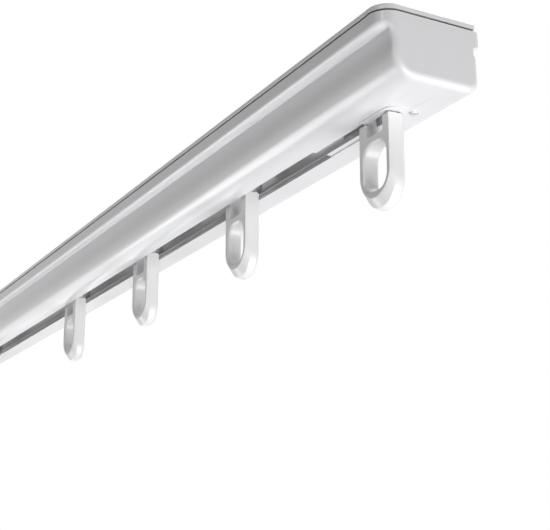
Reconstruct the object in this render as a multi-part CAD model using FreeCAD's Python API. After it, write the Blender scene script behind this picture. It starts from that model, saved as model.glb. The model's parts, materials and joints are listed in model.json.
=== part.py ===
import FreeCAD, Part
import math
import os

# Extendable curtain rod: an outer rail, an inner rail that slides out of it, end caps,
# roller gliders that hang from the slot underneath, and two ceiling brackets.
# +X runs along the rod towards the outer rail's end cap, +Y away from the room, +Z up.
# The origin is on the ceiling plane, midway between the outer bracket's two small holes.
# Section sizes are "depth", back from the waist of the front, and "height", above the underside.

Vector = FreeCAD.Vector
os.makedirs("parts", exist_ok=True)

# Lengths along the rod
bracket_to_end_face = 570.0
bracket_to_mouth = 220.0
inner_rail_exposed = 74.0
inner_rail_end_gap = 3.0
extension_travel = 600.0

# Outer section
rail_height = 20.9
lip_reach = 3.8
back_depth = 29.6
top_setback = 2.2
lower_back_setback = 1.0
lip_underside_drop = 6.9
nose_radius = 1.4
corner_radius = 0.5
waist_drop = 11.9
cove_radius = 25.5
swell_radius = 30.0
toe_radius = 4.6
heel_radius = 3.7
chamfer_drop = 1.2
back_shoulder_drop = 3.0
notch_top_drop = 6.4
notch_roof_drop = 7.6
notch_floor_drop = 9.4
notch_heel_drop = 11.8
notch_reach = 2.9

# Plate and groove at the top of the front
groove_floor_drop = 2.35
groove_height = 0.55
groove_depth = 1.0
plate_edge_radius = 0.8
inner_plate_thickness = 1.0
inner_plate_setback = 1.0

# Walls and the sliding gap between the two rails
outer_wall = 1.2
rail_gap = 0.2
inner_wall = 0.9

# Slot that the gliders hang through
slot_from_back = 15.1
slot_width = 7.3

# Stop rivet of the telescope
rivet_radius = 2.0
rivet_head_radius = 3.2
rivet_head_height = 0.6
rivet_from_mouth = 15.0
stop_slot_clearance = 0.3

# End caps
cap_length = 7.0
cap_corner_radius = 2.2
cap_plate_corner_radius = 6.0
cap_seam = 0.03
shoulder_overlap = 6.0
plug_from_end = 61.8
plug_clearance = 0.15
plug_slot_clearance = 0.05
plug_wall = 2.4
rim_outer_half = 4.2
rim_inner_half = 1.85
rim_thickness = 0.4
rim_tip = 17.6
rim_tip_width = 2.6
rim_length = 33.0
runway_recess = 0.5
inner_cap_length = 9.0
inner_plug_length = 14.0
inner_cap_screw_from_end = 5.0
cap_screw_from_end = 19.5
cap_screw_behind_slot = 5.5
cap_screw_radius = 0.9
cap_screw_head_radius = 1.4
cap_screw_head_height = 0.5
cap_screw_head_edge = 0.25
cap_screw_length = 5.0

# Gliders
glider_count = 9
near_glider_count = 4
glider_pitch = 88.0
first_glider_from_end = 28.0
far_glider_pitch = 74.0
far_glider_from_end = 444.0
tongue_half_width = 7.9
tongue_thickness = 5.5
tongue_top = -0.8
tongue_bottom = -27.4
face_bottom = -24.2
face_edge = 0.3
neck_shoulder = 0.5
rear_bevel = 0.8
eye_width = 11.2
eye_top = -7.8
eye_bottom = -22.0
eye_corner_radius = 4.2
eye_rim = 0.6
window_width = 9.0
window_bottom = -5.4
window_corner_radius = 1.0
neck_thickness = 3.0
head_bottom = 3.4
head_top = 9.6
axle_radius = 1.0
axle_fit = 0.05
axle_head_radius = 1.6
axle_head_length = 0.5
wheel_radius = 4.1
wheel_width = 4.0
wheel_side_gap = 0.5
wheel_track_gap = 0.1
wheel_edge = 0.4

# Ceiling brackets, pressed from sheet
bracket_width = 28.0
bracket_sheet = 1.2
bracket_tail = 22.0
bracket_rail_gap = 0.1
side_flange_height = 3.0
rear_flange_height = 8.0
flange_rear_radius = 6.5
flange_rail_gap = 0.3
front_lip_gap = 0.3
front_lip_overlap = 0.75
inner_lip_overlap = 0.4
bead_height = 0.3
bead_bite = 0.7
panel_rise = 0.4
panel_half_width = 9.3
panel_front_from_rear = 25.0
panel_rear_from_rear = 5.5
screw_slot_width = 4.6
screw_slot_length = 9.6
screw_slot_from_holes = 8.0
small_hole_radius = 1.25
small_hole_spacing = 12.0
holes_from_rear = 10.5
inner_bracket_from_mouth = 37.0

# Latch lever under the rear of each bracket
pivot_behind_back = 1.6
pivot_below_plate = 3.0
pin_radius = 1.0
pin_fit = 0.05
pin_overhang = 0.5
lever_sheet = 1.2
lever_side_gap = 0.5
arm_gap = 0.6
nose_gap = 0.1
nose_bite = 1.6
tab_length = 19.0
tab_slope = 15.0
tab_lip = 1.6
screwdriver_radius = 4.2
screwdriver_behind_pivot = 6.5
flange_hole_length = 4.0
flange_hole_width = 1.8
flange_hole_from_rear = 15.0
spring_sheet = 0.4
spring_arm_width = 3.0
spring_arm_half = 9.6
spring_bridge = 2.0
spring_foot_start = 8.0
spring_foot_end = 9.8
spring_rest_gap = 0.1

# Places that follow from the sizes above
top_depth = back_depth - top_setback
lower_back_depth = back_depth - lower_back_setback
notch_depth = back_depth - notch_reach
slot_centre = back_depth - slot_from_back
cap_screw_depth = slot_centre + cap_screw_behind_slot
waist_height = rail_height - waist_drop
lip_underside_height = rail_height - lip_underside_drop
back_shoulder_height = rail_height - back_shoulder_drop
notch_top_height = rail_height - notch_top_drop
notch_roof_height = rail_height - notch_roof_drop
notch_floor_height = rail_height - notch_floor_drop
notch_heel_height = rail_height - notch_heel_drop
groove_floor_height = rail_height - groove_floor_drop
slide_inset = outer_wall + rail_gap
inner_cavity_inset = slide_inset + inner_wall
plate_underside = rail_height + bracket_rail_gap + side_flange_height - bracket_sheet
ceiling_height = plate_underside + bracket_sheet + panel_rise
end_face_x = bracket_to_end_face
outer_start_x = -bracket_to_mouth
outer_end_x = end_face_x - cap_length
plug_end_x = end_face_x - plug_from_end
inner_end_x = plug_end_x - inner_rail_end_gap
inner_start_x = outer_start_x - inner_rail_exposed
runway_height = inner_cavity_inset
rivet_x = outer_start_x + rivet_from_mouth
outer_screw_x = end_face_x - cap_screw_from_end
inner_screw_x = inner_start_x + inner_cap_screw_from_end
hole_depth = back_depth + bracket_tail - holes_from_rear
slot_half = slot_width / 2


def at(depth, height, x=0.0):
    """Turn a place in the section into a point of the part's frame."""
    return Vector(x, depth - hole_depth, height - ceiling_height)


def box(x0, x1, depth0, depth1, height0, height1):
    low = at(depth0, height0, x0)
    return Part.makeBox(x1 - x0, depth1 - depth0, height1 - height0, low)


def line(a, b):
    return Part.LineSegment(a, b).toShape()


def arc(a, middle, b):
    return Part.Arc(a, middle, b).toShape()


def save(shape, node):
    if not shape.isValid():
        raise ValueError(node + " isn't a valid shape")
    shape.exportStep("parts/" + node + ".step")


def fuse_all(shapes):
    whole = shapes[0].fuse(shapes[1:])
    return whole.removeSplitter()


class Outline:
    """A closed section drawn as (depth, height) lines and arcs."""

    def __init__(self, start):
        self.points = [start]
        self.edges = []

    def to(self, point):
        self.edges.append(("line", self.points[-1], None, point))
        self.points.append(point)

    def bend(self, centre, radius, end):
        """Go round centre from the last point to end, the short way."""
        start = self.points[-1]
        mean = ((start[0] + end[0]) / 2 - centre[0], (start[1] + end[1]) / 2 - centre[1])
        size = math.hypot(mean[0], mean[1])
        middle = (centre[0] + mean[0] / size * radius, centre[1] + mean[1] / size * radius)
        self.edges.append(("arc", start, middle, end))
        self.points.append(end)

    def close(self):
        self.to(self.points[0])

    def wire(self, x):
        made = []
        for kind, start, middle, end in self.edges:
            a = at(start[0], start[1], x)
            b = at(end[0], end[1], x)
            if kind == "line":
                made.append(line(a, b))
            else:
                made.append(arc(a, at(middle[0], middle[1], x), b))
        return Part.Wire(made)

    def extrude(self, x0, x1):
        return Part.Face(self.wire(x0)).extrude(Vector(x1 - x0, 0, 0))


def inset_corner(before, corner, after, inset):
    """Where two straight sides of the section meet once both have moved in by inset."""
    first = (corner[0] - before[0], corner[1] - before[1])
    second = (after[0] - corner[0], after[1] - corner[1])
    a = math.hypot(first[0], first[1])
    b = math.hypot(second[0], second[1])
    normal_a = (first[1] / a, -first[0] / a)
    normal_b = (second[1] / b, -second[0] / b)
    scale = inset / (1 + normal_a[0] * normal_b[0] + normal_a[1] * normal_b[1])
    return (
        corner[0] + scale * (normal_a[0] + normal_b[0]),
        corner[1] + scale * (normal_a[1] + normal_b[1]),
    )


# Circle centres of the front, which every inset of the section shares
nose_centre = (nose_radius - lip_reach, lip_underside_height + nose_radius)
cove_centre = (-cove_radius, waist_height)
swell_centre = (swell_radius, waist_height)
corner_height = lip_underside_height - corner_radius
corner_centre = (
    math.sqrt((cove_radius - corner_radius) ** 2 - (corner_height - waist_height) ** 2) - cove_radius,
    corner_height,
)
toe_centre = (
    swell_radius - math.sqrt((swell_radius - toe_radius) ** 2 - (waist_height - toe_radius) ** 2),
    toe_radius,
)


def toward(centre, other, radius):
    """The point of the circle round centre that lies on the line through both centres."""
    reach = math.hypot(other[0] - centre[0], other[1] - centre[1])
    return (
        centre[0] + (other[0] - centre[0]) / reach * radius,
        centre[1] + (other[1] - centre[1]) / reach * radius,
    )


def back_corners():
    """The straight sides of the back, from the top down to the underside."""
    return [
        (0.0, rail_height),
        (top_depth, rail_height),
        (top_depth, back_shoulder_height + chamfer_drop),
        (back_depth, back_shoulder_height),
        (back_depth, notch_top_height),
        (notch_depth, notch_roof_height),
        (notch_depth, notch_floor_height),
        (lower_back_depth, notch_heel_height),
        (lower_back_depth, 0.0),
        (0.0, 0.0),
    ]


def rail_section(inset, groove):
    """The rail's section, moved in by inset all round.

    groove gives the floor and root of the groove at the top of the front, and the roof
    and front of the plate above it, if there is one. Without a groove the cove runs on
    up to the top.
    """
    top = rail_height - inset
    cove = cove_radius + inset
    if groove is None:
        start = (cove_centre[0] + math.sqrt(cove ** 2 - (top - waist_height) ** 2), top)
    elif groove[2] is None:
        start = (groove[1], top)
    else:
        start = (groove[3] + plate_edge_radius, top)
    shape = Outline(start)
    add_back(shape, inset)
    toe = toe_radius - inset
    shape.to((toe_centre[0], inset))
    shape.bend(toe_centre, toe, toward(toe_centre, swell_centre, -toe))
    shape.bend(swell_centre, swell_radius - inset, (inset, waist_height))
    if groove is None:
        shape.bend(cove_centre, cove, start)
        return shape
    shape.bend(cove_centre, cove, toward(cove_centre, corner_centre, cove))
    shape.bend(corner_centre, corner_radius + inset, (corner_centre[0], lip_underside_height + inset))
    add_nose(shape, inset)
    add_groove(shape, inset, groove)
    return shape


def add_back(shape, inset):
    """The back and the heel, from the top down to the underside."""
    corners = back_corners()
    for i in range(1, len(corners) - 2):
        shape.to(inset_corner(corners[i - 1], corners[i], corners[i + 1], inset))
    heel = heel_radius - inset
    back = lower_back_depth - inset
    shape.to((back, inset + heel))
    if heel > 0:
        shape.bend((back - heel, inset + heel), heel, (back - heel, inset))


def add_nose(shape, inset):
    """The round nose under the lip, or a plain corner where the inset leaves no radius."""
    nose = nose_radius - inset
    if nose > 0.3:
        shape.to((nose_centre[0], lip_underside_height + inset))
        shape.bend(nose_centre, nose, (inset - lip_reach, nose_centre[1]))
    else:
        shape.to((inset - lip_reach, lip_underside_height + inset))


def add_groove(shape, inset, groove):
    """The front of the lip, the groove above it and the edge of the plate."""
    floor, root, roof, plate_front = groove
    shape.to((inset - lip_reach, floor))
    shape.to((root, floor))
    if roof is not None:
        top = rail_height - inset
        shape.to((root, roof))
        shape.to((plate_front, roof))
        shape.to((plate_front, top - plate_edge_radius))
        centre = (plate_front + plate_edge_radius, top - plate_edge_radius)
        shape.bend(centre, plate_edge_radius, shape.points[0])
    else:
        shape.close()


groove_root = groove_depth - lip_reach
groove_roof_height = groove_floor_height + groove_height
outer_groove = (groove_floor_height, groove_root, groove_roof_height, -lip_reach)
cavity_root = groove_root + outer_wall
cavity_groove = (groove_floor_height - outer_wall, cavity_root, None, None)
inner_top = rail_height - slide_inset
inner_plate_front = groove_root + slide_inset
inner_root = inner_plate_front + inner_plate_setback
inner_floor = groove_floor_height - slide_inset
inner_roof = inner_top - inner_plate_thickness
inner_groove = (inner_floor, inner_root, inner_roof, inner_plate_front)


def slot_box(x0, x1, height, half=slot_half):
    return box(x0, x1, slot_centre - half, slot_centre + half, -1.0, height)


def outer_rail():
    """The fixed rail: a cornice section with a slot underneath."""
    x0 = outer_start_x
    x1 = outer_end_x
    shell = rail_section(0.0, outer_groove).extrude(x0, x1)
    shell = shell.cut(rail_section(outer_wall, cavity_groove).extrude(x0 - 1, x1 + 1))
    shell = shell.cut(slot_box(x0 - 1, x1 + 1, outer_wall + 1))
    low = rail_height - outer_wall * 2
    shell = shell.cut(Part.makeCylinder(rivet_radius, outer_wall * 3, at(slot_centre, low, rivet_x)))
    low = -outer_wall / 2
    return shell.cut(Part.makeCylinder(cap_screw_radius, outer_wall * 2, at(cap_screw_depth, low, outer_screw_x)))


def inner_rail():
    """The sliding rail: the same section, one wall and one gap smaller."""
    x0 = inner_start_x
    x1 = inner_end_x
    shell = rail_section(slide_inset, inner_groove).extrude(x0, x1)
    shell = shell.cut(rail_section(inner_cavity_inset, None).extrude(x0 - 1, x1 + 1))
    shell = shell.cut(slot_box(x0 - 1, x1 + 1, inner_cavity_inset + 1))
    shell = shell.cut(stop_slot())
    high = inner_cavity_inset * 2
    return shell.cut(Part.makeCylinder(cap_screw_radius, high, at(cap_screw_depth, 0.0, inner_screw_x)))


def stop_slot():
    """The long slot in the inner rail's top that the stop rivet rides in."""
    reach = rivet_radius + stop_slot_clearance
    low = inner_top - inner_wall * 2
    x1 = rivet_x + extension_travel
    shape = box(rivet_x, x1, slot_centre - reach, slot_centre + reach, low, inner_top + 1)
    for x in (rivet_x, x1):
        shape = shape.fuse(Part.makeCylinder(reach, inner_top + 1 - low, at(slot_centre, low, x)))
    return shape


def stop_rivet():
    """The rivet in the outer rail's top that limits the telescope."""
    low = inner_top - inner_wall
    shank = Part.makeCylinder(rivet_radius, rail_height - low, at(slot_centre, low, rivet_x))
    head = Part.makeCylinder(rivet_head_radius, rivet_head_height, at(slot_centre, rail_height, rivet_x))
    return shank.fuse(head).removeSplitter()


def plan_block(front, back, x0, x1, radius, height0, height1):
    """A block whose corner between front and end is rounded in plan."""
    centre = (front + radius, x1 - radius)
    half = radius * math.sqrt(0.5)
    a = at(front, height0, x0)
    b = at(front, height0, centre[1])
    middle = at(centre[0] - half, height0, centre[1] + half)
    c = at(centre[0], height0, x1)
    d = at(back, height0, x1)
    e = at(back, height0, x0)
    wire = Part.Wire([line(a, b), arc(b, middle, c), line(c, d), line(d, e), line(e, a)])
    return Part.Face(wire).extrude(Vector(0, 0, height1 - height0))


def round_level(block, level, x0, back, radius):
    """Round the edges of a plan block that lie at one height, but not those at x0 and the back."""
    z = level - ceiling_height
    chosen = []
    for edge in block.Edges:
        bounds = edge.BoundBox
        flat = abs(bounds.ZMin - z) < 0.01 and abs(bounds.ZMax - z) < 0.01
        at_joint = bounds.XMax < x0 + 0.01
        at_back = bounds.YMin > back - hole_depth - 0.01
        if flat and not at_joint and not at_back:
            chosen.append(edge)
    return block.makeFillet(radius, chosen)


def end_cap_shell():
    """The visible end of the rod: plate and groove carried round a corner, over the lip and wall."""
    x0 = outer_end_x + cap_seam
    x1 = end_face_x
    back = back_depth + 1.0
    big = cap_plate_corner_radius
    plate = plan_block(-lip_reach, back, x0, x1, big, groove_roof_height, rail_height)
    plate = round_level(plate, rail_height, x0, back, plate_edge_radius)
    deep = groove_depth
    low = groove_floor_height - 0.1
    high = groove_roof_height + 0.1
    neck = plan_block(groove_root, back, x0, x1 - deep, big - deep, low, high)
    whole = fuse_all([plate, neck, end_cap_wall(x0, x1), end_cap_shoulder(x0, x1)])
    limit = Outline((-lip_reach - 1.0, rail_height))
    add_back(limit, 0.0)
    limit.to((-lip_reach - 1.0, 0.0))
    limit.close()
    return whole.common(limit.extrude(x0 - 1, x1 + 1))


def end_cap_wall(x0, x1):
    """Lip and wall, whose round edge runs along the lip, round its corner and down the end."""
    shape = Outline((-lip_reach, groove_floor_height))
    shape.to((lower_back_depth, groove_floor_height))
    shape.to((lower_back_depth, heel_radius))
    heel = (lower_back_depth - heel_radius, heel_radius)
    shape.bend(heel, heel_radius, (heel[0], 0.0))
    shape.to((toe_centre[0], 0.0))
    shape.bend(toe_centre, toe_radius, toward(toe_centre, swell_centre, -toe_radius))
    shape.bend(swell_centre, swell_radius, (0.0, waist_height))
    shape.bend(cove_centre, cove_radius, toward(cove_centre, corner_centre, cove_radius))
    shape.bend(corner_centre, corner_radius, (corner_centre[0], lip_underside_height))
    shape.to((-lip_reach, lip_underside_height))
    shape.close()
    big = cap_plate_corner_radius
    wall = shape.extrude(x0, x1)
    wall = wall.common(plan_block(-lip_reach, back_depth + 1.0, x0 - 1, x1, big, -1.0, rail_height))
    return round_end(wall, x1)


def round_end(wall, x1):
    """Round the lip's nose, growing to the end's own radius along the corner, and then the whole end."""
    radii = []
    for number, edge in enumerate(wall.Edges, 1):
        first = edge.valueAt(edge.FirstParameter)
        last = edge.valueAt(edge.LastParameter)
        middle = edge.valueAt((edge.FirstParameter + edge.LastParameter) / 2)
        points = (first, middle, last)
        below_groove = all(p.z + ceiling_height < groove_floor_height - 0.01 for p in points)
        on_lip = all(abs(p.z + ceiling_height - lip_underside_height) < 0.001 for p in points)
        at_front = all(abs(p.y + hole_depth + lip_reach) < 0.001 for p in points)
        if on_lip and at_front:
            radii.append((number, nose_radius, nose_radius))
        elif on_lip and all(on_end(p, x1) for p in points):
            if first.x < last.x:
                radii.append((number, nose_radius, cap_corner_radius))
            else:
                radii.append((number, cap_corner_radius, nose_radius))
        elif below_groove and all(on_end(p, x1) for p in points):
            radii.append((number, cap_corner_radius, cap_corner_radius))
    return fillet_each(wall, radii)


def on_end(point, x1):
    """Whether a point lies on the cap's end face or on the round corner in front of it."""
    if abs(point.x - x1) < 0.001:
        return True
    big = cap_plate_corner_radius
    back = point.y + hole_depth - (big - lip_reach)
    return point.x > x1 - big - 0.001 and abs(math.hypot(point.x - (x1 - big), back) - big) < 0.001


def fillet_each(solid, radii):
    """Round numbered edges, each from its own start radius to its own end radius."""
    document = FreeCAD.newDocument()
    base = document.addObject("Part::Feature", "base")
    base.Shape = solid
    rounded = document.addObject("Part::Fillet", "rounded")
    rounded.Base = base
    rounded.Edges = radii
    document.recompute()
    shape = rounded.Shape.copy()
    FreeCAD.closeDocument(document.Name)
    return shape


def end_cap_shoulder(x0, x1):
    """The shoulder that stands out at the back above the notch, with a round upright edge."""
    low = notch_roof_height
    block = box(x0, x1, back_depth - shoulder_overlap, back_depth, low, groove_floor_height)
    upright = []
    for edge in block.Edges:
        bounds = edge.BoundBox
        if bounds.XMin > x1 - 0.01 and bounds.YMin > back_depth - hole_depth - 0.01:
            upright.append(edge)
    return block.makeFillet(cap_corner_radius, upright)


def end_cap():
    """The outer rail's cap in one moulding with its plug."""
    return fuse_all([end_cap_shell(), cap_plug()])


def rim_outline(half, tip, length, height):
    """A U lying along the slot: two legs and a round end towards the cap."""
    x_tip = end_face_x - tip
    x_bend = x_tip - half
    x_legs = end_face_x - length
    low = slot_centre - half
    high = slot_centre + half
    start = at(low, height, x_legs)
    edges = [
        line(start, at(low, height, x_bend)),
        arc(at(low, height, x_bend), at(slot_centre, height, x_tip), at(high, height, x_bend)),
        line(at(high, height, x_bend), at(high, height, x_legs)),
        line(at(high, height, x_legs), start),
    ]
    return Part.Face(Part.Wire(edges))


def cap_plug():
    """The plug inside the outer rail, whose floor is the first glider's runway."""
    x0 = plug_end_x
    x1 = outer_end_x + cap_seam
    inset = outer_wall + plug_clearance
    root = cavity_root + plug_clearance
    groove = (cavity_groove[0] - plug_clearance, root, None, None)
    plug = rail_section(inset, groove).extrude(x0, x1)
    front = inset + plug_wall
    back = notch_depth - inset - plug_wall
    plug = plug.cut(box(x0 - 1, end_face_x - rim_tip, front, back, runway_height, rail_height - inset - plug_wall))
    lip = slot_half - plug_slot_clearance
    filler = box(x0, x1, slot_centre - lip, slot_centre + lip, 0.0, inset)
    rim = rim_outline(rim_outer_half, rim_tip, rim_length, -rim_thickness).extrude(Vector(0, 0, rim_thickness))
    plug = fuse_all([plug, filler, rim])
    way = rim_outline(rim_inner_half, rim_tip + rim_tip_width, plug_from_end + 1, -1.0)
    plug = plug.cut(way.extrude(Vector(0, 0, runway_height + 2)))
    plug = plug.cut(slot_box(x0 - 1, end_face_x - rim_length, runway_recess))
    return plug.cut(Part.makeCylinder(cap_screw_radius, cap_screw_length, at(cap_screw_depth, 0.0, outer_screw_x)))


def inner_end_cap():
    """The plain cap on the far end of the inner rail."""
    x1 = inner_start_x
    shell = rail_section(slide_inset, inner_groove).extrude(x1 - inner_cap_length, x1 - cap_seam)
    inset = inner_cavity_inset + plug_clearance
    plug = rail_section(inset, None).extrude(x1 - cap_seam, x1 + inner_plug_length)
    lip = slot_half - plug_slot_clearance
    filler = box(x1 - cap_seam, x1 + inner_plug_length, slot_centre - lip, slot_centre + lip, slide_inset, inset)
    cap = fuse_all([shell, plug, filler])
    place = at(cap_screw_depth, slide_inset, inner_screw_x)
    return cap.cut(Part.makeCylinder(cap_screw_radius, cap_screw_length, place))


def cap_screw(x, underside):
    """A small pan-head screw, driven up through a rail's rear lip into the cap's plug."""
    shank = Part.makeCylinder(cap_screw_radius, cap_screw_length, at(cap_screw_depth, underside, x))
    low = underside - cap_screw_head_height
    head = Part.makeCylinder(cap_screw_head_radius, cap_screw_head_height, at(cap_screw_depth, low, x))
    rim = [edge for edge in head.Edges if edge.BoundBox.ZMax < low - ceiling_height + 0.01]
    head = head.makeFillet(cap_screw_head_edge, rim)
    return shank.fuse(head).removeSplitter()


def tongue_wire(x, y, half, top, bottom):
    """The outline of a glider's tongue at one depth: straight sides and a round end."""
    bend = bottom + half
    a = at(slot_centre + y, top, x - half)
    b = at(slot_centre + y, bend, x - half)
    middle = at(slot_centre + y, bottom, x)
    c = at(slot_centre + y, bend, x + half)
    d = at(slot_centre + y, top, x + half)
    return Part.Wire([line(a, b), arc(b, middle, c), line(c, d), line(d, a)])


def eye_wire(x, y, grow):
    """The outline of a glider's eye: a rectangle with round corners, grown all round."""
    half = eye_width / 2 + grow
    top = eye_top + grow
    bottom = eye_bottom - grow
    radius = eye_corner_radius + grow
    k = radius * (1 - math.sqrt(0.5))
    corners = [(-1, bottom, 1), (1, bottom, 1), (1, top, -1), (-1, top, -1)]
    starts = []
    for side, height, up in corners:
        near = at(slot_centre + y, height + up * radius, x + side * half)
        middle = at(slot_centre + y, height + up * k, x + side * (half - k))
        far = at(slot_centre + y, height, x + side * (half - radius))
        starts.append((near, middle, far))
    edges = []
    for i in range(4):
        near, middle, far = starts[i]
        if i % 2 == 0:
            first, last = near, far
        else:
            first, last = far, near
        edges.append(arc(first, middle, last))
        following = starts[(i + 1) % 4]
        edges.append(line(last, following[2] if i % 2 == 0 else following[0]))
    return Part.Wire(edges)


def glider_place(i):
    """Where a glider hangs along the rod: the near ones by the cap, the others pushed further along."""
    if i < near_glider_count:
        return end_face_x - first_glider_from_end - i * glider_pitch
    return end_face_x - far_glider_from_end - (i - near_glider_count) * far_glider_pitch


def glider_body(x):
    """The hanging tongue with its eye and window, the two arms and the head for the axle."""
    half = tongue_thickness / 2
    wide = tongue_half_width
    sections = [
        tongue_wire(x, -half, wide - face_edge, tongue_top, face_bottom),
        tongue_wire(x, -half * 0.25, wide, tongue_top, tongue_bottom + 0.4),
        tongue_wire(x, half * 0.6, wide, tongue_top, tongue_bottom),
        tongue_wire(x, half, wide - rear_bevel, tongue_top, tongue_bottom + rear_bevel),
    ]
    tongue = Part.makeLoft(sections, True, True)
    neck_half = neck_thickness / 2
    body = fuse_all([tongue, glider_neck(x)])
    rim_depth = half - eye_rim
    straight = Part.makeLoft([eye_wire(x, -half - 1, 0.0), eye_wire(x, half + 1, 0.0)], True, True)
    front_rim = Part.makeLoft([eye_wire(x, -half - 0.01, eye_rim), eye_wire(x, -rim_depth, 0.0)], True, True)
    rear_rim = Part.makeLoft([eye_wire(x, rim_depth, 0.0), eye_wire(x, half + 0.01, eye_rim)], True, True)
    body = body.cut(straight).cut(front_rim).cut(rear_rim)
    window_half = window_width / 2
    near = slot_centre - half - 1
    window = box(x - window_half, x + window_half, near, near + tongue_thickness + 2, window_bottom, head_bottom)
    low = window_bottom - ceiling_height + 0.01
    sills = [e for e in window.Edges if e.BoundBox.ZMax < low and e.BoundBox.YLength > 1]
    body = body.cut(window.makeFillet(window_corner_radius, sills))
    bore = Part.makeCylinder(axle_radius, neck_thickness + 2, at(slot_centre - neck_half - 1, axle_height, x),
                             Vector(0, 1, 0))
    return body.cut(bore)


def glider_neck(x):
    """The neck and head above the tongue, a flat bar with round upright edges."""
    half = neck_thickness / 2
    reach = tongue_half_width - neck_shoulder - half
    low = tongue_top - 3.0
    neck = box(x - reach, x + reach, slot_centre - half, slot_centre + half, low, head_top)
    for side in (-1, 1):
        place = at(slot_centre, low, x + side * reach)
        neck = neck.fuse(Part.makeCylinder(half, head_top - low, place))
    return neck.removeSplitter()


axle_height = runway_height + wheel_track_gap + wheel_radius
wheel_inner = neck_thickness / 2 + wheel_side_gap
wheel_outer = wheel_inner + wheel_width
across = Vector(0, 1, 0)


def glider_axle(x):
    """The steel pin through a glider's head, with a small head at each end."""
    reach = wheel_outer + 0.1
    pin = Part.makeCylinder(axle_radius, reach * 2, at(slot_centre - reach, axle_height, x), across)
    near = Part.makeCylinder(axle_head_radius, axle_head_length,
                             at(slot_centre - reach - axle_head_length, axle_height, x), across)
    far = Part.makeCylinder(axle_head_radius, axle_head_length, at(slot_centre + reach, axle_height, x), across)
    return fuse_all([pin, near, far])


def glider_wheels(x):
    """A glider's two wheels, one each side of its head."""
    wheels = []
    for side in (-1, 1):
        start = slot_centre + (wheel_inner if side > 0 else -wheel_outer)
        disc = Part.makeCylinder(wheel_radius, wheel_width, at(start, axle_height, x), across)
        disc = disc.makeChamfer(wheel_edge, [e for e in disc.Edges if isinstance(e.Curve, Part.Circle)])
        bore = Part.makeCylinder(axle_radius + axle_fit, wheel_width + 2, at(start - 1, axle_height, x), across)
        wheels.append(disc.cut(bore))
    return Part.makeCompound(wheels)


class BracketSeat:
    """Where a bracket meets its rail."""

    def __init__(self, x, inset, plate_front, groove_floor, groove_roof, lip_overlap):
        self.x = x
        self.inset = inset
        self.rail_top = rail_height - inset
        self.lip_back = plate_front - front_lip_gap
        self.front = self.lip_back - bracket_sheet
        self.back = back_depth - inset
        self.rear = self.back + bracket_tail
        self.holes = self.rear - holes_from_rear
        self.lip_low = groove_floor - lip_overlap
        self.bead = (groove_floor + groove_roof) / 2
        self.bead_tip = plate_front + bead_bite
        corners = back_corners()
        self.notch_top = inset_corner(corners[3], corners[4], corners[5], inset)
        self.notch_roof = inset_corner(corners[4], corners[5], corners[6], inset)
        self.pivot = (self.back + pivot_behind_back, plate_underside - pivot_below_plate)
        self.top = plate_underside + bracket_sheet


def bracket_body(seat):
    """The pressed plate with its front lip, side flanges and raised panel."""
    half = bracket_width / 2
    x = seat.x
    plate = box(x - half, x + half, seat.front, seat.rear, plate_underside, seat.top)
    lip = box(x - half, x + half, seat.front, seat.lip_back, seat.lip_low, seat.top)
    bead = box(x - half + 3, x + half - 3, seat.lip_back - 0.1, seat.bead_tip, seat.bead - bead_height / 2,
               seat.bead + bead_height / 2)
    parts = [plate, lip, bead, raised_panel(seat, seat.top, panel_rise, 0.0)]
    for side in (-1, 1):
        parts.append(side_flange(seat, side))
    body = fuse_all(parts)
    body = body.cut(raised_panel(seat, plate_underside - 0.01, panel_rise, bracket_sheet / 2))
    for side in (-1, 1):
        place = at(seat.holes, plate_underside - 1, x + side * small_hole_spacing / 2)
        body = body.cut(Part.makeCylinder(small_hole_radius, bracket_sheet + panel_rise + 2, place))
    body = body.cut(screw_slot(seat))
    place = at(seat.pivot[0], seat.pivot[1], x - half - 1)
    return body.cut(Part.makeCylinder(pin_radius, bracket_width + 2, place, Vector(1, 0, 0)))


def raised_panel(seat, height, rise, shrink):
    half = panel_half_width - shrink
    depth0 = seat.rear - panel_front_from_rear + shrink
    depth1 = seat.rear - panel_rear_from_rear - shrink
    return box(seat.x - half, seat.x + half, depth0, depth1, height, height + rise)


def screw_slot(seat):
    """The long hole for the ceiling screw, running front to back."""
    half = screw_slot_width / 2
    centre = seat.holes - screw_slot_from_holes
    run = (screw_slot_length - screw_slot_width) / 2
    low = plate_underside - 1
    shape = box(seat.x - half, seat.x + half, centre - run, centre + run, low, seat.top + 2)
    for depth in (centre - run, centre + run):
        shape = shape.fuse(Part.makeCylinder(half, bracket_sheet + 3, at(depth, low, seat.x)))
    return shape


def side_flange(seat, side):
    """One cheek: shallow over the rail, deep and round behind it, with a long hole."""
    corners = back_corners()
    outward = seat.inset - flange_rail_gap
    low = seat.top - rear_flange_height
    rest = seat.rail_top + bracket_rail_gap
    radius = flange_rear_radius
    shape = Outline((seat.front, seat.top))
    shape.to((seat.rear, seat.top))
    shape.to((seat.rear, low + radius))
    shape.bend((seat.rear - radius, low + radius), radius, (seat.rear - radius, low))
    shoulder = inset_corner(corners[2], corners[3], corners[4], outward)
    edge = inset_corner(corners[1], corners[2], corners[3], outward)
    shape.to((shoulder[0], low))
    shape.to(shoulder)
    shape.to(edge)
    shape.to((edge[0], rest))
    shape.to((seat.front, rest))
    shape.close()
    outer = seat.x + side * bracket_width / 2
    x0 = min(outer, outer - side * bracket_sheet)
    flange = shape.extrude(x0, x0 + bracket_sheet)
    return flange.cut(flange_hole(seat, x0))


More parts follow.
